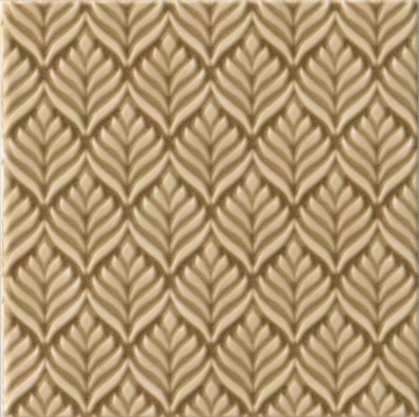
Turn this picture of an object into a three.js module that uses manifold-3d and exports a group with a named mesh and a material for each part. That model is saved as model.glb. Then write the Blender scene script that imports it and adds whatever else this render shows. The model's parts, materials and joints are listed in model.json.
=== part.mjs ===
// A square wall tile of pressed and glazed earthenware, in millimetres.
// Its face carries a half-drop pattern of feathered leaves in relief. The back has shallow
// keying grooves for the adhesive. The whole tile is pressed and fired as one piece.
// Frame: the back lies on z = 0 with its centre at the origin, and the leaves point to +Y.
import * as THREE from 'three';
import { mergeVertices } from 'three/addons/utils/BufferGeometryUtils.js';
import Module from 'manifold-3d';

const wasm = await Module();
wasm.setup();

// Tile blank
const TILE_SIDE = 152;
const GROUND_HEIGHT = 7; // back to the ground between the leaves
const RELIEF = 2.6; // ground to the highest crest
const CORNER_RADIUS = 1; // upright corners, seen from above
const CORNER_STEPS = 3;
const SHOULDER_DROP = 0.9; // rounded arris, below the ground level
const SHOULDER_INSET = 0.45; // rounded arris, in from the side at the ground level
const CREST_INSET = 1.5; // rounded arris, in from the side at crest level
const BACK_ARRIS = 0.5; // small bevel round the back

// Keying grooves on the back, as many pairs as fit between the borders
const GROOVE_WIDTH = 8;
const GROOVE_LAND = 9; // flat between two grooves
const GROOVE_DEPTH = 0.8;
const GROOVE_DRAFT = 0.6; // how much each wall leans in over the depth
const GROOVE_MARGIN = 9; // plain border round the grooves
const GROOVE_PITCH = GROOVE_WIDTH + GROOVE_LAND;
const GROOVE_COUNT = 2 * Math.floor((TILE_SIDE - 2 * GROOVE_MARGIN + GROOVE_LAND) / (2 * GROOVE_PITCH));

// Leaf pattern: whole leaves fit across and up the face, so that it runs on over the joints.
// It is pressed a little to the right of the tile's centre.
const COLUMNS = 5;
const REPEATS = 3;
const PATTERN_MARGIN = 0.4; // border outside the whole leaves
const LEAF_PITCH = (TILE_SIDE - 2 * PATTERN_MARGIN) / COLUMNS;
const LEAF_REPEAT = (TILE_SIDE - 2 * PATTERN_MARGIN) / REPEATS;
const MIDRIB_OFF_CENTRE = 0.7; // midrib of the middle leaves, to the right of the tile's centre
const FOOT_ABOVE_CENTRE = 1.7; // foot of the middle leaf above the tile's centre

// The strokes below are drawn for a leaf cell of this width and height
const DRAWN_PITCH = 30.4;
const DRAWN_REPEAT = 50.7;
const FLANK = 1.3; // half width at the ground over half width of the stroke
const CREST = 0.6; // half width of the flat crest over half width of the stroke
const SINK = 0.6; // how far a stroke reaches into the blank
const CHORD = 0.01; // share of the length over which the direction is taken

// Each stroke of a leaf is a swept curve from its root to its tip. Its four control points
// are [across, up, half width, height], from the foot of the leaf, with the height as a
// share of the relief. Its stations are the shares of its length where it has a section.
const BUD = {
  stations: [0.28, 0.68],
  control: [[0, 27.8, 0.8, 0.3], [0, 31, 3.4, 1.1], [0, 34, 3.6, 1.4], [0, 38.4, 0.1, 0.3]],
};
const SIDE_STROKES = [
  {
    stations: [0.18, 0.8],
    control: [[0.3, 21.6, 0.5, 0.4], [1.4, 25, 1.4, 0.9], [5.4, 27.6, 2.4, 1.4], [5.4, 32, 0.2, 0.4]],
  },
  {
    stations: [0.12, 0.5, 0.86],
    control: [[0.3, 14, 0.5, 0.4], [1.2, 21.6, 2, 0.9], [9.6, 21.6, 2.5, 1.4], [9.6, 27.8, 0.2, 0.4]],
  },
  {
    stations: [0.1, 0.36, 0.64, 0.88],
    control: [[0.4, 7, 0.5, 0.4], [1.6, 15.8, 2.3, 0.9], [11.8, 15.6, 2.3, 1.4], [12.9, 24, 0.2, 0.4]],
  },
  {
    stations: [0.1, 0.36, 0.64, 0.88],
    control: [[0.8, -0.2, 0.6, 0.5], [2.2, 9, 1.9, 1.2], [12.6, 9.6, 1.9, 1.4], [15, 19.6, 0.2, 0.4]],
  },
];

/** A closed solid through rings of equal length. A ring of one point closes an end. */
function loft(rings) {
  const points = rings.flat();
  const starts = [];
  let count = 0;
  for (const ring of rings) {
    starts.push(count);
    count += ring.length;
  }
  const faces = [];
  for (let i = 0; i < rings.length - 1; i++) {
    const [low, high] = [rings[i], rings[i + 1]];
    const around = Math.max(low.length, high.length);
    for (let j = 0; j < around; j++) {
      const next = (j + 1) % around;
      const a = starts[i] + (low.length > 1 ? j : 0);
      const b = starts[i] + (low.length > 1 ? next : 0);
      const c = starts[i + 1] + (high.length > 1 ? next : 0);
      const d = starts[i + 1] + (high.length > 1 ? j : 0);
      if (a !== b) faces.push(a, b, c);
      if (c !== d) faces.push(a, c, d);
    }
  }
  const last = rings.length - 1;
  for (let j = 1; j < rings[0].length - 1; j++) {
    faces.push(starts[0], starts[0] + j + 1, starts[0] + j);
  }
  for (let j = 1; j < rings[last].length - 1; j++) {
    faces.push(starts[last], starts[last] + j, starts[last] + j + 1);
  }
  const geometry = new THREE.BufferGeometry();
  geometry.setAttribute('position', new THREE.Float32BufferAttribute(points.flatMap((p) => p.toArray()), 3));
  geometry.setIndex(faces);
  return geometry;
}

/** The same shape as a solid that can be joined and cut. */
function toSolid(geometry) {
  const plain = geometry.clone();
  plain.deleteAttribute('normal');
  plain.deleteAttribute('uv');
  const merged = mergeVertices(plain);
  return new wasm.Manifold(new wasm.Mesh({
    numProp: 3,
    vertProperties: merged.attributes.position.array,
    triVerts: new Uint32Array(merged.index.array),
  }));
}

/** Outline of the tile at a height, drawn in from its sides by an inset. */
function tileRing(height, inset) {
  const half = TILE_SIDE / 2 - inset;
  const radius = Math.max(CORNER_RADIUS - inset, CORNER_RADIUS / 4);
  const corners = [[1, 1, 0], [-1, 1, 1], [-1, -1, 2], [1, -1, 3]];
  return corners.flatMap(([sx, sy, quarter]) => {
    const ring = [];
    for (let k = 0; k <= CORNER_STEPS; k++) {
      const angle = (quarter + k / CORNER_STEPS) * (Math.PI / 2);
      const x = sx * (half - radius) + radius * Math.cos(angle);
      const y = sy * (half - radius) + radius * Math.sin(angle);
      ring.push(new THREE.Vector3(x, y, height));
    }
    return ring;
  });
}

/** The tile's envelope, with its rounded arris and corners. */
function envelope() {
  return toSolid(loft([
    tileRing(0, BACK_ARRIS),
    tileRing(BACK_ARRIS, 0),
    tileRing(GROUND_HEIGHT - SHOULDER_DROP, 0),
    tileRing(GROUND_HEIGHT, SHOULDER_INSET),
    tileRing(GROUND_HEIGHT + RELIEF, CREST_INSET),
  ]));
}

/** The value of a cubic Bezier curve with four control values. */
function bezier([a, b, c, d], t) {
  const s = 1 - t;
  return s ** 3 * a + 3 * s ** 2 * t * b + 3 * s * t ** 2 * c + t ** 3 * d;
}

/** One stroke of a leaf, mirrored to the other side of the midrib where side is -1. */
function strokeGeometry({ stations, control }, side) {
  const scaleX = LEAF_PITCH / DRAWN_PITCH;
  const scaleY = LEAF_REPEAT / DRAWN_REPEAT;
  const column = (index) => control.map((point) => point[index]);
  const at = (t) => new THREE.Vector2(side * scaleX * bezier(column(0), t), scaleY * bezier(column(1), t));
  const end = (t) => [new THREE.Vector3(at(t).x, at(t).y, -SINK)];
  const sections = stations.map((t) => {
    const centre = at(t);
    const along = at(t + CHORD).sub(at(t - CHORD)).normalize();
    const half = scaleX * bezier(column(2), t);
    const height = RELIEF * Math.min(bezier(column(3), t), 1);
    const sunkHalf = half * FLANK + (half * (FLANK - CREST) * SINK) / height;
    const outline = [[sunkHalf, -SINK], [-sunkHalf, -SINK], [-half * CREST, height], [half * CREST, height]];
    return outline.map(([across, up]) => (
      new THREE.Vector3(centre.x + along.y * across, centre.y - along.x * across, up)
    ));
  });
  return loft([end(0), ...sections, end(1)]);
}

/** All strokes of one leaf, with its foot at the origin of the ground. */
function leafStrokes() {
  const sides = SIDE_STROKES.flatMap((stroke) => [1, -1].map((side) => strokeGeometry(stroke, side)));
  return [strokeGeometry(BUD, 1), ...sides];
}

/** The places of the leaf feet: rows half a pitch apart, every half repeat. */
function leafPlaces() {
  const places = [];
  for (let row = -2 * REPEATS; row <= REPEATS + 1; row++) {
    const shift = row % 2 === 0 ? 0 : 0.5;
    for (let column = -COLUMNS; column <= COLUMNS; column++) {
      const x = MIDRIB_OFF_CENTRE + (column + shift) * LEAF_PITCH;
      const y = FOOT_ABOVE_CENTRE + (row / 2) * LEAF_REPEAT;
      const reach = TILE_SIDE / 2;
      if (Math.abs(x) < reach + LEAF_PITCH / 2 && y < reach && y > -reach - LEAF_REPEAT) places.push([x, y]);
    }
  }
  return places;
}

/** The leaves all over the face, standing on the ground. */
function relief() {
  const strokes = leafStrokes();
  const solids = leafPlaces().flatMap(([x, y]) => (
    strokes.map((stroke) => toSolid(stroke.clone().translate(x, y, GROUND_HEIGHT)))
  ));
  return wasm.Manifold.union(solids);
}

/** A keying groove, from below the back up to its floor. */
function grooveSolid(x) {
  const halfLength = TILE_SIDE / 2 - GROOVE_MARGIN;
  const ring = (height) => {
    const lean = (GROOVE_DRAFT * height) / GROOVE_DEPTH;
    const [hx, hy] = [GROOVE_WIDTH / 2 - lean, halfLength - lean];
    const corners = [[-hx, -hy], [hx, -hy], [hx, hy], [-hx, hy]];
    return corners.map(([px, py]) => new THREE.Vector3(x + px, py, height));
  };
  return toSolid(loft([ring(-GROOVE_DEPTH), ring(GROOVE_DEPTH)]));
}

/** The finished tile as one solid. */
function tileSolid() {
  const slab = new THREE.BoxGeometry(TILE_SIDE, TILE_SIDE, GROUND_HEIGHT).translate(0, 0, GROUND_HEIGHT / 2);
  let solid = toSolid(slab).add(relief()).intersect(envelope());
  for (let k = 0; k < GROOVE_COUNT; k++) {
    solid = solid.subtract(grooveSolid((k - (GROOVE_COUNT - 1) / 2) * GROOVE_PITCH));
  }
  return solid;
}

/** A mesh geometry of a solid. */
function toGeometry(solid) {
  const mesh = solid.getMesh();
  const geometry = new THREE.BufferGeometry();
  geometry.setAttribute('position', new THREE.BufferAttribute(mesh.vertProperties, 3));
  geometry.setIndex(new THREE.BufferAttribute(mesh.triVerts, 1));
  geometry.computeVertexNormals();
  return geometry;
}

// Caramel glaze over a cream body
const glaze = new THREE.MeshStandardMaterial({ color: 0xcbb088, roughness: 0.25, metalness: 0 });

const tile = new THREE.Mesh(toGeometry(tileSolid()), glaze);
tile.name = 'relief_tile';

const group = new THREE.Group();
group.add(tile);

export default group;
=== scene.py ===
"""A square wall tile of pressed earthenware under a caramel majolica glaze, lying face up.

The tile's face carries a half-drop pattern of feathered leaves in relief. Lengths in the
classes are in millimetres, as a tile maker gives them, and become metres in the meshes.
"""

import json
import logging
import math
from dataclasses import dataclass, field
from enum import Enum

import bmesh
import bpy
import numpy as np
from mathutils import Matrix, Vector

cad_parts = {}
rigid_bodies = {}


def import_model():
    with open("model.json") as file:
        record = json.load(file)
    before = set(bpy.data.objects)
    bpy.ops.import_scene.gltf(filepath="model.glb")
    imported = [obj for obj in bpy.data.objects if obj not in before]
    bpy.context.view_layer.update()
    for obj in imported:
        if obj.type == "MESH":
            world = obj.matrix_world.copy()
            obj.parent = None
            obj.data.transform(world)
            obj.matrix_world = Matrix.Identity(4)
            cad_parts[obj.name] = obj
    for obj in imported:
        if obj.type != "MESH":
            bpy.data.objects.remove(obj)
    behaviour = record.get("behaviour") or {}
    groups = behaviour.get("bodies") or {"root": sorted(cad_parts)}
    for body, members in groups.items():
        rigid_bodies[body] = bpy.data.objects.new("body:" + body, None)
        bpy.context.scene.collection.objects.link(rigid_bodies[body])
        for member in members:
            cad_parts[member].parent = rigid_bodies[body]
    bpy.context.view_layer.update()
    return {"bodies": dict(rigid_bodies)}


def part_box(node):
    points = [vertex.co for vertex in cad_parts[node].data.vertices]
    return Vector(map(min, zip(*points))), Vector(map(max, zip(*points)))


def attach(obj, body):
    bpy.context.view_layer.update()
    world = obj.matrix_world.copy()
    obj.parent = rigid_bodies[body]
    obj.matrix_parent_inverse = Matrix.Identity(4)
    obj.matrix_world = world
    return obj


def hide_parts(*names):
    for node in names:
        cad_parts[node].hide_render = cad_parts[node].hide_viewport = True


LOG = logging.getLogger("relief_tile")

MM = 0.001  # metres in a millimetre

# Nearly all of a noise texture lies between the first two. A drift from one colour to
# another runs between the second two, so that each of them has patches of its own.
NOISE_LOW = 0.3
NOISE_HIGH = 0.7
DRIFT_LOW = 0.35
DRIFT_HIGH = 0.65

Point = tuple[float, float]


def linear(hex_colour: str) -> tuple[float, float, float, float]:
    """Turn an sRGB hex colour into the linear RGBA that a shader socket takes.

    Args:
        hex_colour: Six hex digits, with or without a leading hash.

    Returns:
        Linear red, green and blue, and an alpha of 1.
    """
    digits = hex_colour.lstrip("#")
    channels = [int(digits[i:i + 2], 16) / 255 for i in (0, 2, 4)]
    return (*[c / 12.92 if c <= 0.04045 else ((c + 0.055) / 1.055) ** 2.4 for c in channels], 1.0)


def add_node(
    tree: bpy.types.NodeTree, kind: str, settings: dict[str, object] | None = None, **links: object
) -> bpy.types.Node:
    """Add a shader node, with its settings and what feeds it.

    Args:
        tree: The material's node tree.
        kind: The node's Blender type name.
        settings: Attributes of the node, and values of its sockets, by name.
        **links: Output sockets to join to inputs. A name such as in_0 means input number 0, and
            an underscore in another name stands for a space.

    Returns:
        The new node.
    """
    node = tree.nodes.new(kind)
    for name, value in (settings or {}).items():
        if hasattr(node, name):
            setattr(node, name, value)
        else:
            node.inputs[name].default_value = value
    for name, output in links.items():
        socket = int(name[3:]) if name.startswith("in_") else name.replace("_", " ")
        tree.links.new(output, node.inputs[socket])
    return node


def set_ramp(ramp: bpy.types.Node, steps: tuple[tuple[float, str], ...]) -> None:
    """Give a colour ramp its colours.

    Args:
        ramp: The ramp node.
        steps: Pairs of place along the ramp and sRGB hex colour, in rising order.
    """
    elements = ramp.color_ramp.elements
    while len(elements) < len(steps):
        elements.new(1.0)
    for element, (place, colour) in zip(elements, steps):
        element.position = place
        element.color = linear(colour)


def smooth_step(share: np.ndarray) -> np.ndarray:
    """Return an eased ramp from 0 to 1 over shares from 0 to 1."""
    held = np.clip(share, 0, 1)
    return held * held * (3 - 2 * held)


def blend_highest(first: np.ndarray, second: np.ndarray, width: float) -> np.ndarray:
    """Return the higher of two surfaces, with the corner between them rounded over a width."""
    overlap = np.clip(width - np.abs(first - second), 0, None) / width
    return np.maximum(first, second) + overlap**2 * width / 4


def mirrored(points: tuple[Point, ...]) -> tuple[Point, ...]:
    """Return points of a leaf on the other side of its midrib."""
    return tuple((-across, up) for across, up in points)


def smooth_curve(points: tuple[Point, ...], steps: int = 6) -> np.ndarray:
    """Work out a smooth curve through given points, as a Catmull-Rom spline.

    Args:
        points: The points that the curve passes through.
        steps: How many steps each span takes.

    Returns:
        One row for each point of the curve.
    """
    knots = np.array(points, float)
    ends = np.vstack([2 * knots[0] - knots[1], knots, 2 * knots[-1] - knots[-2]])
    rows = []
    for a, b, c, d in zip(ends, ends[1:], ends[2:], ends[3:]):
        for s in np.arange(steps) / steps:
            bend = (c - a) * s + (2 * a - 5 * b + 4 * c - d) * s**2 + (3 * b - a - 3 * c + d) * s**3
            rows.append(b + bend / 2)
    return np.array([*rows, knots[-1]])


def distance_to(curve: np.ndarray, x: np.ndarray, y: np.ndarray) -> np.ndarray:
    """Measure how far each place lies from a curve.

    Args:
        curve: Points along the curve, one row each.
        x: Places across.
        y: Places up.

    Returns:
        Distances, never negative.
    """
    nearest = np.full(x.shape, np.inf)
    for (x0, y0), (x1, y1) in zip(curve, curve[1:]):
        run, rise = x1 - x0, y1 - y0
        along = np.clip(((x - x0) * run + (y - y0) * rise) / (run**2 + rise**2), 0, 1)
        nearest = np.minimum(nearest, np.hypot(x - x0 - along * run, y - y0 - along * rise))
    return nearest


def is_inside(outline: np.ndarray, x: np.ndarray, y: np.ndarray) -> np.ndarray:
    """Find which places lie inside a closed outline.

    Args:
        outline: The outline's corners, one row each.
        x: Places across.
        y: Places up.

    Returns:
        True for each place inside it.
    """
    inside = np.zeros(x.shape, bool)
    for (x0, y0), (x1, y1) in zip(outline, np.roll(outline, -1, axis=0)):
        if y0 != y1:
            inside ^= ((y0 > y) != (y1 > y)) & (x < x0 + (y - y0) / (y1 - y0) * (x1 - x0))
    return inside


class Coat(Enum):
    """What covers a face of the tile, as its material slot."""

    GLAZED = 0
    BARE = 1


@dataclass(frozen=True)
class Flank:
    """The rounded side of a blade, by distance from the edge that lies half way up it.

    Attributes:
        foot: How far outside the edge the side meets the ground, in millimetres.
        crown: How far inside the edge the crest is level, in millimetres.
    """

    foot: float = 0.85
    crown: float = 0.95

    def share(self, inset: np.ndarray) -> np.ndarray:
        """Return the share of the crest's height at distances inside the edge."""
        rise = np.clip((inset + self.foot) / (self.foot + self.crown), 0, 1)
        return 1 - (1 - rise) ** 2


@dataclass(frozen=True)
class Blade:
    """One raised blade of a leaf, by its two edges from its root to its tip.

    Each point is (across, up) from the leaf's foot, in millimetres.

    Attributes:
        lower: Points of the outer edge.
        upper: Points of the edge on the midrib's side.
        root_height: Height of the crest at the root, as a share of the relief.
        tip_height: Height of the crest at the tip, as a share of the relief.
        lean: Share of the height that the crest loses from its lower edge to its upper one.
        late_rise: Power of the share of the length, which keeps the crest's rise near the tip.
    """

    lower: tuple[Point, ...]
    upper: tuple[Point, ...]
    root_height: float = 0.74
    tip_height: float = 1.08
    lean: float = 0.06
    late_rise: int = 3

    def height(self, across: np.ndarray, up: np.ndarray, flank: Flank) -> np.ndarray:
        """Work out the blade's height at each place.

        Args:
            across: Distances from the midrib, in millimetres.
            up: Distances above the foot, in millimetres.
            flank: The rounding of the blade's sides.

        Returns:
            Heights as shares of the relief, zero away from the blade.
        """
        lower, upper = smooth_curve(self.lower), smooth_curve(self.upper)
        outline = np.vstack([lower, upper[-2:0:-1]])
        low, high = outline.min(axis=0) - flank.foot, outline.max(axis=0) + flank.foot
        near = (across > low[0]) & (across < high[0]) & (up > low[1]) & (up < high[1])
        x, y = across[near], up[near]
        run = lower[-1] - lower[0]
        along = np.clip(((x - lower[0][0]) * run[0] + (y - lower[0][1]) * run[1]) / (run @ run), 0, 1)
        crest = self.root_height + (self.tip_height - self.root_height) * along**self.late_rise
        to_lower, to_upper = distance_to(lower, x, y), distance_to(upper, x, y)
        crest = crest * (1 - self.lean * to_lower / (to_lower + to_upper))
        depth = np.minimum(to_lower, to_upper) * np.where(is_inside(outline, x, y), 1, -1)
        heights = np.zeros(across.shape)
        heights[near] = crest * flank.share(depth)
        return heights


# Right edge of a leaf's bud, from its root to its tip
BUD_EDGE = (
    (0.0, 28.3), (0.9, 29.9), (1.7, 31.0), (2.4, 32.2),
    (2.6, 33.1), (2.3, 34.2), (1.1, 35.9), (0.0, 37.1),
)


@dataclass(frozen=True)
class Leaf:
    """One leaf of the pattern: a bud, and four blades on each side of a sunken midrib.

    Its points are (across, up) from the leaf's foot, in millimetres. They are drawn for one cell
    of the repeat, which the pattern stretches a little to fit the tile.

    Attributes:
        drawn_pitch: Width of the cell that the points are drawn for, in millimetres.
        drawn_repeat: Height of that cell, in millimetres.
        floor: Height of the low plate between the blades, as a share of the relief.
        floor_rise: How much higher the plate is for each millimetre up or towards the midrib.
        floor_ramp: Width over which the plate rises from the ground, in millimetres.
        rib_spread: Half width of the midrib's groove, in millimetres.
        rib_top: How far above the foot the midrib's groove ends, in millimetres.
        join: Rounding where two blades meet, as a share of the relief.
        flank: The rounding of the blades' sides.
        blades: The bud, and the right half's blades from the uppermost down.
        plate: Right half of the plate's outline, from the leaf's foot to its top.
    """

    drawn_pitch: float = 30.24
    drawn_repeat: float = 50.4
    floor: float = 0.3
    floor_rise: float = 0.004
    floor_ramp: float = 2.0
    rib_spread: float = 1.3
    rib_top: float = 24.5
    join: float = 0.1
    flank: Flank = field(default_factory=Flank)
    blades: tuple[Blade, ...] = (
        Blade(lower=BUD_EDGE, upper=mirrored(BUD_EDGE), root_height=0.8, tip_height=0.97, lean=0.0),
        Blade(
            lower=((0.4, 22.0), (1.3, 23.1), (3.0, 25.1), (5.1, 27.0), (6.0, 29.0), (5.1, 31.9)),
            upper=((0.4, 22.0), (0.1, 23.9), (0.7, 26.0), (1.7, 28.1), (2.9, 30.0), (5.1, 31.9)),
        ),
        Blade(
            lower=(
                (0.6, 14.7), (2.3, 17.0), (3.9, 19.0), (6.6, 21.0),
                (8.9, 23.0), (9.75, 25.4), (9.0, 28.0),
            ),
            upper=(
                (0.6, 14.7), (0.5, 16.6), (1.1, 19.0), (2.4, 21.4),
                (4.5, 24.0), (6.7, 26.0), (9.0, 28.0),
            ),
        ),
        Blade(
            lower=(
                (0.6, 7.6), (2.2, 10.0), (3.7, 12.0), (6.0, 14.0),
                (8.9, 16.0), (11.1, 18.0), (12.9, 22.0), (12.5, 24.3),
            ),
            upper=(
                (0.6, 7.6), (0.4, 9.6), (1.1, 12.0), (2.1, 14.0),
                (3.8, 16.0), (6.3, 18.0), (10.6, 22.0), (12.5, 24.3),
            ),
        ),
        Blade(
            lower=(
                (0.7, -0.1), (1.6, 1.0), (2.7, 3.0), (4.5, 5.0), (8.2, 8.0),
                (11.4, 11.0), (13.4, 14.0), (14.4, 16.0), (14.9, 17.6), (14.7, 19.6),
            ),
            upper=(
                (0.7, -0.1), (0.1, 1.2), (0.7, 3.0), (2.4, 7.0), (4.1, 9.0),
                (7.8, 12.0), (12.1, 16.0), (13.3, 17.8), (14.7, 19.6),
            ),
            root_height=0.92, tip_height=0.95,
        ),
    )
    plate: tuple[Point, ...] = (
        (0.0, 0.0), (4.5, 6.5), (12.4, 12.6), (14.8, 19.0), (12.8, 23.4), (9.4, 27.2),
        (5.4, 31.2), (3.4, 33.2), (5.2, 35.4), (2.6, 38.6), (0.0, 42.0),
    )

    def height(self, across: np.ndarray, up: np.ndarray) -> np.ndarray:
        """Work out the leaf's height at each place.

        Args:
            across: Distances from the midrib, in millimetres and never negative.
            up: Distances above the foot, in millimetres.

        Returns:
            Heights as shares of the relief, zero away from the leaf.
        """
        edge = np.array([*self.plate, *mirrored(self.plate[-2:0:-1]), self.plate[0]])
        depth = distance_to(edge, across, up) * is_inside(edge, across, up)
        inside = smooth_step(depth / self.floor_ramp)
        below_top = 1 - smooth_step((up - self.rib_top) / self.floor_ramp)
        rib = np.exp(-((across / self.rib_spread) ** 2)) * below_top
        top = (self.floor + self.floor_rise * (up - across)) * inside * (1 - rib)
        for blade in self.blades:
            top = blend_highest(top, blade.height(across, up, self.flank), self.join)
        return top


@dataclass
class LeafPattern:
    """The half-drop pattern of leaves, as maps over one cell of its repeat.

    Attributes:
        pitch: Distance from one midrib to the next across the tile, in millimetres.
        repeat: Distance from one foot to the next up the tile, in millimetres.
        relief: Height from the ground to the highest crest, in millimetres.
        midrib: Place of the middle leaves' midrib across from the tile's centre, in millimetres.
        foot: Place of the middle leaf's foot up from the tile's centre, in millimetres.
        leaf: The leaf that the pattern repeats.
        step: Spacing of the maps' points, in millimetres.
        glaze_levelling: Radius over which the melted glaze levels the clay, in millimetres.
        pool_reach: Radius over which glaze runs into a hollow, in millimetres.
        pool_by_level: How much deeper the glaze is on the ground than on the highest crest, as a
            share of the deepest.
        pool_by_hollow: How much deeper it is in a hollow of the relief's full height.
        surface: Map of the glaze's surface, as heights above the ground in millimetres.
        pool: Map of how much deeper the glaze is than on the highest crest.
    """

    pitch: float
    repeat: float
    relief: float
    midrib: float
    foot: float
    leaf: Leaf = field(default_factory=Leaf)
    step: float = 0.1
    glaze_levelling: float = 0.34
    pool_reach: float = 1.3
    pool_by_level: float = 0.88
    pool_by_hollow: float = 0.3
    surface: np.ndarray = field(init=False)
    pool: np.ndarray = field(init=False)

    def __post_init__(self) -> None:
        """Work out the glaze's surface over the clay, and how deep it pools, over one cell."""
        surface = self.softened(self.relief * self.carved(), self.glaze_levelling)
        self.surface = surface * self.relief / surface.max()
        hollow = self.softened(self.surface, self.pool_reach) - self.surface
        level = self.pool_by_level * (1 - self.surface / self.relief)
        self.pool = level + self.pool_by_hollow * hollow / self.relief

    def carved(self) -> np.ndarray:
        """Carve the clay over one cell.

        The cell is a pitch wide and a repeat high. It starts at a leaf's midrib and foot, and the
        leaves half a pitch on stand half a repeat higher. Its right half mirrors its left half.

        Returns:
            The clay's heights, as shares of the relief.
        """
        columns, rows = round(self.pitch / 2 / self.step), round(self.repeat / self.step)
        half, repeat = self.leaf.drawn_pitch / 2, self.leaf.drawn_repeat
        across, up = np.meshgrid(
            (np.arange(columns) + 0.5) / columns * half, (np.arange(rows) + 0.5) / rows * repeat
        )
        total = np.zeros(across.shape)
        # The leaves that reach into the left half, by their midrib and by their foot in repeats
        for midrib, foot in ((0, -1), (0, 0), (0, 1), (half, -0.5), (half, 0.5)):
            leaf = self.leaf.height(np.abs(across - midrib), up - foot * repeat)
            total = blend_highest(total, leaf, self.leaf.join)
        return np.hstack([total, total[:, ::-1]])

    def softened(self, heights: np.ndarray, radius: float) -> np.ndarray:
        """Blur the heights of a cell softly, on into its neighbours.

        Args:
            heights: Heights over the cell, in millimetres.
            radius: The blur's standard deviation, in millimetres.

        Returns:
            The blurred heights.
        """
        rows, columns = heights.shape
        down = np.fft.fftfreq(rows, self.repeat / rows)[:, None]
        right = np.fft.rfftfreq(columns, self.pitch / columns)[None, :]
        keep = np.exp(-2 * (math.pi * radius) ** 2 * (down**2 + right**2))
        return np.fft.irfft2(np.fft.rfft2(heights) * keep, heights.shape)

    def sample(self, values: np.ndarray, x: np.ndarray, y: np.ndarray) -> np.ndarray:
        """Read a map of the cell at places on the tile.

        Args:
            values: A map over the cell.
            x: Places across the tile, from its centre, in millimetres.
            y: Places up the tile, from its centre, in millimetres.

        Returns:
            The map's values there.
        """
        rows, columns = values.shape
        u = (x - self.midrib) / self.pitch * columns - 0.5
        v = (y - self.foot) / self.repeat * rows - 0.5
        i, j = np.floor(u).astype(int), np.floor(v).astype(int)
        s, t = u - i, v - j
        corner = {(a, b): values[(j + b) % rows, (i + a) % columns] for a in (0, 1) for b in (0, 1)}
        low = corner[0, 0] * (1 - s) + corner[1, 0] * s
        high = corner[0, 1] * (1 - s) + corner[1, 1] * s
        return low * (1 - t) + high * t


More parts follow.
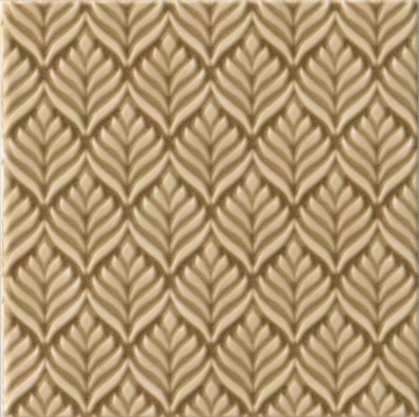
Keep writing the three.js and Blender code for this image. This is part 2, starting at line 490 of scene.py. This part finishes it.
@dataclass(frozen=True)
class MajolicaGlaze:
    """Caramel majolica: a translucent lead-type glaze, poured over the pressed face and fired.

    It is thin on the crests and the arris, where the pale clay shows through, and pools in the
    ground, where it looks dark brown. Where it is thinnest, on the arris that faces the key light,
    it is drawn near white, a painted highlight over the real thinning. It levels as it melts, so
    the surface is smooth and has a soft gloss.

    Attributes:
        name: The material's name.
        clay_and_highlight: Colour where the glaze is thinnest: the bare clay, drawn near white as a
        painted highlight on the lit arris.
        thin: Colour under the thinnest film, on the tips of the blades.
        light: Colour on the crests.
        middle: Colour half way down the flanks.
        deep: Colour between the blades.
        pooled: Colour in the ground.
        depths: Depth of glaze at which each colour lies, as a share of the deepest.
        roughness: Of the glaze's body, which scatters light.
        ior: Index of refraction of a lead-type glaze.
        coat_weight: How much of the surface has settled to a sharper gloss.
        coat_roughness: Of that sharper gloss.
        mottle_mm: Size of the patches where the glaze lies thicker or thinner.
        mottle_depth: By how much it does, as a share of the deepest.
        speckle_mm: Size of the specks.
        speckle_share: By how much the specks deepen or thin the glaze.
        tint_mm: Size of the patches of another tint.
        rosy: Tint of the glaze where it fired warmest.
        olive: Tint of the glaze where it fired coolest.
        ripple_mm: Length of the ripples on its surface.
        ripple_height_mm: Their height.
    """

    name: str = "caramel_majolica_glaze"
    clay_and_highlight: str = "FFFCFA"
    thin: str = "FBE3C3"
    light: str = "E2C69B"
    middle: str = "C4A674"
    deep: str = "A88951"
    pooled: str = "886428"
    depths: tuple[float, ...] = (0.0, 0.07, 0.32, 0.55, 0.8, 1.0)
    roughness: float = 0.5
    ior: float = 1.52
    coat_weight: float = 0.2
    coat_roughness: float = 0.2
    mottle_mm: float = 18.0
    mottle_depth: float = 0.05
    speckle_mm: float = 0.8
    speckle_share: float = 0.1
    tint_mm: float = 9.0
    rosy: str = "FFFAFB"
    olive: str = "FBFFF5"
    ripple_mm: float = 3.5
    ripple_height_mm: float = 0.02

    def material(self) -> bpy.types.Material:
        """Make the glaze as a material that reads the depth of the glaze from the mesh.

        Returns:
            The material.
        """
        material = bpy.data.materials.new(self.name)
        material.use_nodes = True
        tree = material.node_tree
        tree.nodes.clear()
        place = add_node(tree, "ShaderNodeTexCoord")
        depth = add_node(tree, "ShaderNodeAttribute", {"attribute_name": "glaze_depth"})

        # Mottle: a poured glaze lies a little thicker in wide soft patches, so its tone drifts.
        mottle = add_node(
            tree, "ShaderNodeTexNoise", {"Scale": 1 / (self.mottle_mm * MM), "Detail": 3.0},
            Vector=place.outputs["Object"],
        )
        shift = add_node(
            tree, "ShaderNodeMapRange",
            {
                "From Min": NOISE_LOW, "From Max": NOISE_HIGH,
                "To Min": -self.mottle_depth, "To Max": self.mottle_depth,
            },
            Value=mottle.outputs["Fac"],
        )

        # Specks of iron in the glaze, each about 0.3 mm across in a real one. They are drawn
        # coarser, so that the pooled glaze shows its grain. They scale with the depth of glaze.
        speckle = add_node(
            tree, "ShaderNodeTexNoise", {"Scale": 1 / (self.speckle_mm * MM), "Detail": 1.0},
            Vector=place.outputs["Object"],
        )
        grain = add_node(
            tree, "ShaderNodeMapRange",
            {
                "From Min": NOISE_LOW, "From Max": NOISE_HIGH,
                "To Min": 1 - self.speckle_share, "To Max": 1 + self.speckle_share,
            },
            Value=speckle.outputs["Fac"],
        )
        grained = add_node(
            tree, "ShaderNodeMath", {"operation": "MULTIPLY"},
            in_0=depth.outputs["Fac"], in_1=grain.outputs["Result"],
        )
        total = add_node(
            tree, "ShaderNodeMath", {"operation": "ADD", "use_clamp": True},
            in_0=grained.outputs["Value"], in_1=shift.outputs["Result"],
        )

        # A translucent glaze darkens with its depth, from the clay's colour to caramel brown. Its
        # palest step, near white, is a painted highlight where the glaze thins on the lit arris.
        # The first colour is painted highlight as much as bare clay.
        colours = (self.clay_and_highlight, self.thin, self.light, self.middle, self.deep, self.pooled)
        ramp = add_node(tree, "ShaderNodeValToRGB", Fac=total.outputs["Value"])
        set_ramp(ramp, tuple(zip(self.depths, colours)))

        # The kiln's heat leaves faint rosy and olive patches in the glaze, and none in the clay.
        # A Mix node has its colours at inputs 6 and 7 and its result at output 2.
        drift = add_node(
            tree, "ShaderNodeTexNoise", {"Scale": 1 / (self.tint_mm * MM), "Detail": 2.0},
            Vector=place.outputs["Object"],
        )
        tint = add_node(tree, "ShaderNodeValToRGB", Fac=drift.outputs["Fac"])
        set_ramp(tint, ((DRIFT_LOW, self.rosy), (DRIFT_HIGH, self.olive)))
        covered = add_node(
            tree, "ShaderNodeMapRange", {"From Min": self.depths[0], "From Max": self.depths[1]},
            Value=total.outputs["Value"],
        )
        colour = add_node(
            tree, "ShaderNodeMix", {"data_type": "RGBA", "blend_type": "MULTIPLY"},
            in_0=covered.outputs["Result"], in_6=ramp.outputs["Color"], in_7=tint.outputs["Color"],
        )

        # Ripple: the melted surface isn't quite flat, which breaks up its reflections.
        ripple = add_node(
            tree, "ShaderNodeTexNoise", {"Scale": 1 / (self.ripple_mm * MM), "Detail": 2.0},
            Vector=place.outputs["Object"],
        )
        bump = add_node(
            tree, "ShaderNodeBump", {"Distance": self.ripple_height_mm * MM, "Strength": 1.0},
            Height=ripple.outputs["Fac"],
        )
        shader = add_node(
            tree, "ShaderNodeBsdfPrincipled",
            {
                "Roughness": self.roughness, "IOR": self.ior, "Coat Weight": self.coat_weight,
                "Coat Roughness": self.coat_roughness, "Coat IOR": self.ior,
            },
            Base_Color=colour.outputs[2], Normal=bump.outputs["Normal"],
        )
        add_node(tree, "ShaderNodeOutputMaterial", Surface=shader.outputs["BSDF"])
        return material


@dataclass(frozen=True)
class CreamBiscuit:
    """Cream earthenware biscuit: dust-pressed clay, fired once and left bare.

    It is dry and matt, with a fine grain from the pressed dust and faint blotches from the kiln.

    Attributes:
        name: The material's name.
        pale: Colour of most of the clay.
        dark: Colour of its blotches.
        roughness: Of the bare clay, which has no gloss.
        ior: Index of refraction of fired clay.
        grain_mm: Size of the grains.
        grain_height_mm: Their height.
        blotch_mm: Size of the blotches.
    """

    name: str = "cream_earthenware_biscuit"
    pale: str = "E6D9C2"
    dark: str = "DECFB5"
    roughness: float = 0.85
    ior: float = 1.5
    grain_mm: float = 0.8
    grain_height_mm: float = 0.03
    blotch_mm: float = 12.0

    def material(self) -> bpy.types.Material:
        """Make the bare clay as a material.

        Returns:
            The material.
        """
        material = bpy.data.materials.new(self.name)
        material.use_nodes = True
        tree = material.node_tree
        tree.nodes.clear()
        place = add_node(tree, "ShaderNodeTexCoord")

        # Blotches: the clay fires a little darker in some places than in others.
        blotch = add_node(
            tree, "ShaderNodeTexNoise", {"Scale": 1 / (self.blotch_mm * MM), "Detail": 4.0},
            Vector=place.outputs["Object"],
        )
        ramp = add_node(tree, "ShaderNodeValToRGB", Fac=blotch.outputs["Fac"])
        set_ramp(ramp, ((DRIFT_LOW, self.dark), (DRIFT_HIGH, self.pale)))

        # The pressed dust's grains are about 0.2 mm across, and are drawn coarser to show.
        grain = add_node(
            tree, "ShaderNodeTexNoise", {"Scale": 1 / (self.grain_mm * MM), "Detail": 3.0},
            Vector=place.outputs["Object"],
        )
        bump = add_node(
            tree, "ShaderNodeBump", {"Distance": self.grain_height_mm * MM, "Strength": 1.0},
            Height=grain.outputs["Fac"],
        )
        shader = add_node(
            tree, "ShaderNodeBsdfPrincipled", {"Roughness": self.roughness, "IOR": self.ior},
            Base_Color=ramp.outputs["Color"], Normal=bump.outputs["Normal"],
        )
        add_node(tree, "ShaderNodeOutputMaterial", Surface=shader.outputs["BSDF"])
        return material


@dataclass(frozen=True)
class BackdropPaper:
    """Pale backdrop paper: uncoated and rolled out flat, so it takes soft shadows and no gloss.

    Attributes:
        name: The material's name.
        colour: Colour of the paper.
        roughness: Of its uncoated surface.
    """

    name: str = "pale_matt_paper"
    colour: str = "E9E6E0"
    roughness: float = 0.9

    def material(self) -> bpy.types.Material:
        """Make the paper as a material.

        Returns:
            The material.
        """
        material = bpy.data.materials.new(self.name)
        material.use_nodes = True
        shader = material.node_tree.nodes["Principled BSDF"]
        shader.inputs["Base Color"].default_value = linear(self.colour)
        shader.inputs["Roughness"].default_value = self.roughness
        return material


@dataclass
class ReliefTile:
    """The tile: its relief face, rounded arris, sides with the glaze's edge, and keyed back.

    Lengths are in millimetres. The thinnings are (reach, kept): how far in from a side the glaze
    is made thinner and paler, and the share of its depth that is kept at the side itself. On the
    left and upper sides, which face the key light, this paleness is a painted highlight as well as
    the glaze's real thinning at the arris; the right side, in shade, has none.

    Attributes:
        side: The tile's side.
        thickness: From the back to the highest crest.
        relief: From the ground to the highest crest.
        columns: Leaves across the tile.
        repeats: Repeats of the pattern up the tile.
        margin: Border outside the whole leaves.
        midrib: Place of the middle leaves' midrib across from the tile's centre.
        foot: Place of the middle leaf's foot up from the tile's centre.
        cells_per_pitch: Cells of the mesh across a leaf.
        cells_per_repeat: Cells of the mesh up a repeat.
        edge_lines: Insets of the mesh's closer lines along each side.
        plain_edge_cells: Cells along each side that those lines replace.
        corner_radius: Of the upright corners.
        arris_inset: How far in from the side the rounded arris starts.
        arris_drop: How far below the ground the arris ends.
        arris_blend: Rounding where the arris cuts through the blades.
        roll_reach: How far in from the side the edge rolls over.
        roll_drop: How far the rolled edge drops at the side.
        glaze_least: Depth of the glaze on a broad crest of full height, as a share of the deepest.
        glaze_film: Least depth that is left on a narrow tip, as a share of the deepest.
        left_highlight_thinning: How the glaze thins and pales at the left side, which faces the
            key light: mostly a painted highlight.
        upper_highlight_thinning: How the glaze thins and pales at the upper side, partly a painted
            highlight where the light falls.
        lower_thinning: How the glaze thins at the lower side.
        glaze_line: Height of the glaze's lower edge on the sides.
        glaze_wander: How far that edge wanders up and down.
        glaze_waves: Its waves, as (number round the tile, share of the wander, phase).
        glaze_thickness: How far the glaze stands out from the clay at that edge.
        glaze_bead: How far above that edge its thicker bead starts, in thicknesses of glaze.
        bead_depths: Depth of the glaze at the bead's top, its middle and its foot.
        back_arris: Bevel round the back.
        groove_count: Keying grooves in the back.
        groove_pitch: From one groove to the next.
        groove_width: Of each groove.
        groove_depth: Of each groove.
        groove_draft: How far each wall of a groove leans in.
        groove_margin: Plain border round the grooves.
        glaze: The finish of the face.
        biscuit: The finish of the bare sides and back.
        ground: Height of the ground between the leaves above the back.
        pattern: The leaf pattern, drawn to fit the tile.
    """

    side: float
    thickness: float
    relief: float = 2.6
    columns: int = 5
    repeats: int = 3
    margin: float = 0.54
    midrib: float = 0.72
    foot: float = 1.5
    cells_per_pitch: int = 58
    cells_per_repeat: int = 96
    edge_lines: tuple[float, ...] = (0.0, 0.04, 0.13, 0.28, 0.5, 0.8, 1.15)
    plain_edge_cells: int = 3
    corner_radius: float = 1.0
    arris_inset: float = 1.7
    arris_drop: float = 0.9
    arris_blend: float = 0.4
    roll_reach: float = 1.5
    roll_drop: float = 0.55
    glaze_least: float = 0.1
    glaze_film: float = 0.045
    left_highlight_thinning: tuple[float, float] = (4.4, 0.0)
    upper_highlight_thinning: tuple[float, float] = (2.2, 0.1)
    lower_thinning: tuple[float, float] = (2.2, 0.75)
    glaze_line: float = 3.9
    glaze_wander: float = 0.7
    glaze_waves: tuple[tuple[int, float, float], ...] = (
        (5, 0.45, 0.4), (13, 0.3, 2.3), (29, 0.15, 1.1), (61, 0.1, 4.0),
    )
    glaze_thickness: float = 0.14
    glaze_bead: float = 6.0
    bead_depths: tuple[float, float, float] = (0.34, 0.5, 0.6)
    back_arris: float = 0.5
    groove_count: int = 8
    groove_pitch: float = 17.0
    groove_width: float = 8.0
    groove_depth: float = 0.8
    groove_draft: float = 0.6
    groove_margin: float = 9.0
    glaze: MajolicaGlaze = field(default_factory=MajolicaGlaze)
    biscuit: CreamBiscuit = field(default_factory=CreamBiscuit)
    ground: float = field(init=False)
    pattern: LeafPattern = field(init=False)

    def __post_init__(self) -> None:
        """Draw the leaf pattern to fit the tile."""
        self.ground = self.thickness - self.relief
        printed = self.side - 2 * self.margin
        self.pattern = LeafPattern(
            pitch=printed / self.columns, repeat=printed / self.repeats, relief=self.relief,
            midrib=self.midrib, foot=self.foot,
        )

    def grid_lines(self, cell: float) -> np.ndarray:
        """Place the face's grid lines, closer together along the sides.

        Args:
            cell: Spacing of the lines away from the sides.

        Returns:
            The lines' places, from one side to the other.
        """
        half_count = round(self.side / 2 / cell) - self.plain_edge_cells
        inner = np.arange(-half_count, half_count + 1) * cell
        outer = self.side / 2 - np.array(self.edge_lines)
        return np.concatenate([-outer, inner, outer[::-1]])

    def rounded(self, x: np.ndarray, y: np.ndarray) -> tuple[np.ndarray, np.ndarray, np.ndarray]:
        """Round the corners of the square grid, each from a square patch to a quarter disc.

        Args:
            x: Places across the tile.
            y: Places up the tile.

        Returns:
            The moved places across and up, and each one's inset from the tile's outline.
        """
        start = self.side / 2 - self.corner_radius
        a = np.clip((np.abs(x) - start) / self.corner_radius, 0, None)
        b = np.clip((np.abs(y) - start) / self.corner_radius, 0, None)
        round_a, round_b = a * np.sqrt(1 - b * b / 2), b * np.sqrt(1 - a * a / 2)
        new_x = np.where(a > 0, np.sign(x) * (start + round_a * self.corner_radius), x)
        new_y = np.where(b > 0, np.sign(y) * (start + round_b * self.corner_radius), y)
        corner = self.corner_radius * (1 - np.hypot(round_a, round_b))
        straight = self.side / 2 - np.maximum(np.abs(new_x), np.abs(new_y))
        return new_x, new_y, np.where((a > 0) & (b > 0), corner, straight)

    def face_heights(self, x: np.ndarray, y: np.ndarray, inset: np.ndarray) -> np.ndarray:
        """Work out the heights of the glazed face, with its arris and rolled edge.

        Args:
            x: Places across the tile.
            y: Places up the tile.
            inset: Each place's inset from the tile's outline.

        Returns:
            Heights above the back.
        """
        surface = self.ground + self.pattern.sample(self.pattern.surface, x, y)
        bottom = self.ground - self.arris_drop
        rise = np.sqrt(1 - np.clip(1 - inset / self.arris_inset, 0, 1) ** 2)
        arris = bottom + (self.thickness - bottom) * rise
        roll = self.roll_drop * np.clip(1 - inset / self.roll_reach, 0, 1) ** 2
        # The lower of the two surfaces is kept, with the corner between them rounded.
        return -blend_highest(-surface, -arris, self.arris_blend) - roll

    def glaze_depths(self, x: np.ndarray, y: np.ndarray) -> np.ndarray:
        """Work out the depths of glaze on the face, thinner along its sides, with painted highlight on the
        lit left and upper sides.

        Args:
            x: Places across the tile.
            y: Places up the tile.

        Returns:
            Depths, as shares of the deepest.
        """
        depth = self.glaze_least + self.pattern.sample(self.pattern.pool, x, y)
        depth = np.clip(depth, self.glaze_film, 1)
        half = self.side / 2
        # Thinner, paler glaze along the left and upper sides, which face the key light, is painted
        # highlight; the shaded right side gets none.
        sides = (
            (half + x, self.left_highlight_thinning),
            (half - y, self.upper_highlight_thinning),
            (half + y, self.lower_thinning),
        )
        for gap, (reach, kept) in sides:
            depth = depth * (kept + (1 - kept) * smooth_step(gap / reach) ** 2)
        return depth

    def outline(self, x: np.ndarray, y: np.ndarray, inset: float) -> tuple[np.ndarray, np.ndarray]:
        """Draw the tile's upright outline in by an inset.

        Args:
            x: Places across, on the tile's own outline.
            y: Places up, on the tile's own outline.
            inset: How far in the new places lie.

        Returns:
            The new places across and up.
        """
        start = self.side / 2 - self.corner_radius
        core_x, core_y = np.clip(x, -start, start), np.clip(y, -start, start)
        share = 1 - inset / self.corner_radius
        return core_x + (x - core_x) * share, core_y + (y - core_y) * share

    def walls(self, x: np.ndarray, y: np.ndarray) -> list[tuple[np.ndarray, float, Coat]]:
        """Draw the rings below the face's rim: the glaze's ragged lower edge, and the bare clay.

        Args:
            x: Places across of the rim, in order round the tile.
            y: Places up of the rim.

        Returns:
            For each ring its points, its depth of glaze and the coat of the band above it.
        """
        run = np.hypot(np.diff(x, append=x[0]), np.diff(y, append=y[0]))
        turn = 2 * math.pi * np.cumsum(run) / run.sum()
        wander = sum(size * np.sin(count * turn + phase) for count, size, phase in self.glaze_waves)
        edge = self.glaze_line + self.glaze_wander * wander
        thickness = self.glaze_thickness
        bead_top, bead_middle, bead_foot = self.bead_depths
        plan = (
            (0.0, edge + self.glaze_bead * thickness, bead_top, Coat.GLAZED),
            (0.0, edge + thickness, bead_middle, Coat.GLAZED),
            (thickness / 2, edge, bead_foot, Coat.GLAZED),
            (thickness, edge - thickness / 4, bead_foot, Coat.GLAZED),
            (thickness, self.back_arris, 0.0, Coat.BARE),
            (self.back_arris, 0.0, 0.0, Coat.BARE),
        )
        rings = []
        for inset, height, depth, coat in plan:
            ring_x, ring_y = self.outline(x, y, inset)
            points = np.column_stack([ring_x, ring_y, np.broadcast_to(height, ring_x.shape)])
            rings.append((points, depth, coat))
        return rings

    def face_triangles(self, height: np.ndarray, index: np.ndarray) -> list[list[int]]:
        """Split each cell of the face into two triangles, along its more level diagonal.

        Args:
            height: Heights of the grid's points.
            index: Numbers of the grid's points.

        Returns:
            Triangles as lists of three point numbers.
        """
        a, b, c, d = index[:-1, :-1], index[:-1, 1:], index[1:, 1:], index[1:, :-1]
        rise = np.abs(height[:-1, :-1] - height[1:, 1:]) <= np.abs(height[:-1, 1:] - height[1:, :-1])
        first = np.where(rise[..., None], np.dstack([a, b, c]), np.dstack([a, b, d]))
        second = np.where(rise[..., None], np.dstack([a, c, d]), np.dstack([b, c, d]))
        return np.concatenate([first.reshape(-1, 3), second.reshape(-1, 3)]).tolist()

    def close_back(self, mesh: bpy.types.Mesh, outline: np.ndarray) -> None:
        """Close the mesh with the flat back and its keying grooves.

        Args:
            mesh: The mesh of the face and sides.
            outline: Numbers of the back's outline points.
        """
        form = bmesh.new()
        form.from_mesh(mesh)
        form.verts.ensure_lookup_table()
        ring = [form.verts[i] for i in outline]
        border = [form.edges.get((a, b)) for a, b in zip(ring, ring[1:] + ring[:1])]
        reach = self.side / 2 - self.groove_margin
        grooves = []
        for k in range(self.groove_count):
            x = (k - (self.groove_count - 1) / 2) * self.groove_pitch
            loops = []
            for level, lean in ((0.0, 0.0), (self.groove_depth, self.groove_draft)):
                half = self.groove_width / 2 - lean
                corners = ((-half, -1), (half, -1), (half, 1), (-half, 1))
                loops.append([
                    form.verts.new(Vector((x + dx, sy * (reach - lean), level)) * MM) for dx, sy in corners
                ])
            grooves.append(loops)
            rim = loops[0]
            border.extend(form.edges.new((a, b)) for a, b in zip(rim, rim[1:] + rim[:1]))
        filled = bmesh.ops.triangle_fill(form, use_beauty=True, edges=border, normal=(0, 0, -1))
        back = [f for f in filled["geom"] if isinstance(f, bmesh.types.BMFace)]
        for rim, bed in grooves:
            for j in range(len(rim)):
                k = (j + 1) % len(rim)
                back.append(form.faces.new((rim[j], bed[j], bed[k], rim[k])))
            back.append(form.faces.new(bed[::-1]))
        for face in back:
            face.material_index = Coat.BARE.value
            face.smooth = False
        bmesh.ops.recalc_face_normals(form, faces=form.faces)
        form.to_mesh(mesh)
        form.free()

    def build(self) -> bpy.types.Object:
        """Make the tile as one closed mesh, dressed in its glaze and bare clay.

        Returns:
            The tile.
        """
        lines_x = self.grid_lines(self.side / self.columns / self.cells_per_pitch)
        lines_y = self.grid_lines(self.side / self.repeats / self.cells_per_repeat)
        x, y, inset = self.rounded(*np.meshgrid(lines_x, lines_y))
        height = self.face_heights(x, y, inset)
        index = np.arange(x.size).reshape(x.shape)
        faces = self.face_triangles(height, index)
        coats = [Coat.GLAZED.value] * len(faces)
        rim = np.concatenate([index[0, :-1], index[:-1, -1], index[-1, :0:-1], index[:0:-1, 0]])
        vertices = [np.dstack([x, y, height]).reshape(-1, 3)]
        depths = [self.glaze_depths(x, y).ravel()]
        above, count = rim, x.size
        for ring, glaze_depth, coat in self.walls(x.ravel()[rim], y.ravel()[rim]):
            below = count + np.arange(len(rim))
            band = np.column_stack([below, np.roll(below, -1), np.roll(above, -1), above])
            faces.extend(band.tolist())
            coats.extend([coat.value] * len(band))
            vertices.append(ring)
            depths.append(np.full(len(ring), glaze_depth))
            above, count = below, count + len(rim)
        mesh = bpy.data.meshes.new("relief_tile_glazed")
        mesh.from_pydata((np.vstack(vertices) * MM).tolist(), [], faces)
        attribute = mesh.attributes.new("glaze_depth", "FLOAT", "POINT")
        attribute.data.foreach_set("value", np.concatenate(depths).astype(np.float32))
        mesh.polygons.foreach_set("material_index", coats)
        mesh.polygons.foreach_set("use_smooth", [True] * len(faces))
        self.close_back(mesh, above)
        mesh.materials.append(self.glaze.material())
        mesh.materials.append(self.biscuit.material())
        tile = bpy.data.objects.new("relief_tile_glazed", mesh)
        bpy.context.scene.collection.objects.link(tile)
        LOG.info("%s: %d faces", tile.name, len(mesh.polygons))
        return tile


@dataclass
class Studio:
    """The plain pale floor, the soft light and the camera that looks straight down.

    Attributes:
        side: The tile's side, in millimetres.
        thickness: The tile's thickness over the relief, in millimetres.
        picture_width: Width of the photograph, in pixels.
        picture_centre: Centre of the photograph, in pixels across and down.
        tile_width: Width of the tile in the photograph, in pixels.
        tile_centre: Centre of the tile in the photograph, in pixels across and down.
        turn: How far the camera is turned clockwise, in degrees.
        distance: From the camera to the highest crest, in millimetres.
        sensor_width: Of the camera, in millimetres.
        floor_size: The floor's side, in metres.
        floor_gap: How far below the tile's back the floor lies, in millimetres.
        paper: The finish of the floor.
        key_colour: Of the key light.
        key_power: In watts.
        key_size: Across the key light's disc, in metres.
        key_place: Place of the key light, in metres. It faces the tile's centre.
        fill_colour: Of the light that the room throws back.
        fill_strength: Of that light.
    """

    side: float
    thickness: float
    picture_width: float = 419.0
    picture_centre: tuple[float, float] = (209.5, 208.5)
    tile_width: float = 419.4
    tile_centre: tuple[float, float] = (209.5, 208.6)
    turn: float = 0.185
    distance: float = 1200.0
    sensor_width: float = 36.0
    floor_size: float = 12.0
    floor_gap: float = 0.05
    paper: BackdropPaper = field(default_factory=BackdropPaper)
    key_colour: str = "FFFAF2"
    key_power: float = 16.2
    key_size: float = 1.6
    key_place: tuple[float, float, float] = (-1.4, 0.54, 0.95)
    fill_colour: str = "F3F1EC"
    fill_strength: float = 0.565

    def floor(self) -> None:
        """Lay the pale floor just under the tile."""
        mesh = bpy.data.meshes.new("floor")
        half = self.floor_size / 2
        corners = [(-half, -half, 0), (half, -half, 0), (half, half, 0), (-half, half, 0)]
        mesh.from_pydata(corners, [], [(0, 1, 2, 3)])
        mesh.materials.append(self.paper.material())
        floor = bpy.data.objects.new("floor", mesh)
        floor.location.z = -self.floor_gap * MM
        bpy.context.scene.collection.objects.link(floor)

    def lights(self) -> None:
        """Hang a soft key light at the upper left, and fill the room with pale light."""
        lamp = bpy.data.lights.new("key", "AREA")
        lamp.shape = "DISK"
        lamp.size = self.key_size
        lamp.energy = self.key_power
        lamp.color = linear(self.key_colour)[:3]
        key = bpy.data.objects.new("key", lamp)
        key.location = self.key_place
        key.rotation_euler = Vector(self.key_place).to_track_quat("Z", "Y").to_euler()
        key.visible_camera = False
        bpy.context.scene.collection.objects.link(key)
        world = bpy.data.worlds.new("soft_room")
        world.use_nodes = True
        background = world.node_tree.nodes["Background"]
        background.inputs["Color"].default_value = linear(self.fill_colour)
        background.inputs["Strength"].default_value = self.fill_strength
        bpy.context.scene.world = world

    def camera(self) -> None:
        """Look straight down at the tile, framed and turned as in the photograph."""
        scale = self.side / self.tile_width
        lens = bpy.data.cameras.new("camera")
        lens.sensor_width = self.sensor_width
        lens.lens = lens.sensor_width * self.distance / (self.picture_width * scale)
        camera = bpy.data.objects.new("camera", lens)
        right = (self.picture_centre[0] - self.tile_centre[0]) * scale
        down = (self.picture_centre[1] - self.tile_centre[1]) * scale
        camera.location = Vector((right, -down, self.distance + self.thickness)) * MM
        camera.rotation_euler = (0, 0, -math.radians(self.turn))
        bpy.context.scene.collection.objects.link(camera)
        bpy.context.scene.camera = camera

    def build(self) -> None:
        """Set up the floor, the lights and the camera."""
        self.floor()
        self.lights()
        self.camera()
        bpy.context.scene.view_settings.view_transform = "Standard"


def main() -> None:
    """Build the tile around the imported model, and light it."""
    logging.basicConfig(level=logging.INFO, format="%(name)s: %(message)s")
    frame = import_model()
    low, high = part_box("relief_tile")
    side, thickness = (high.x - low.x) / MM, (high.z - low.z) / MM
    tile = ReliefTile(side=side, thickness=thickness).build()
    body = next(iter(frame["bodies"]))
    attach(tile, body)
    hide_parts("relief_tile")
    LOG.info("%s rides on %s and replaces relief_tile", tile.name, body)
    Studio(side=side, thickness=thickness).build()


if __name__ == "__main__":
    main()
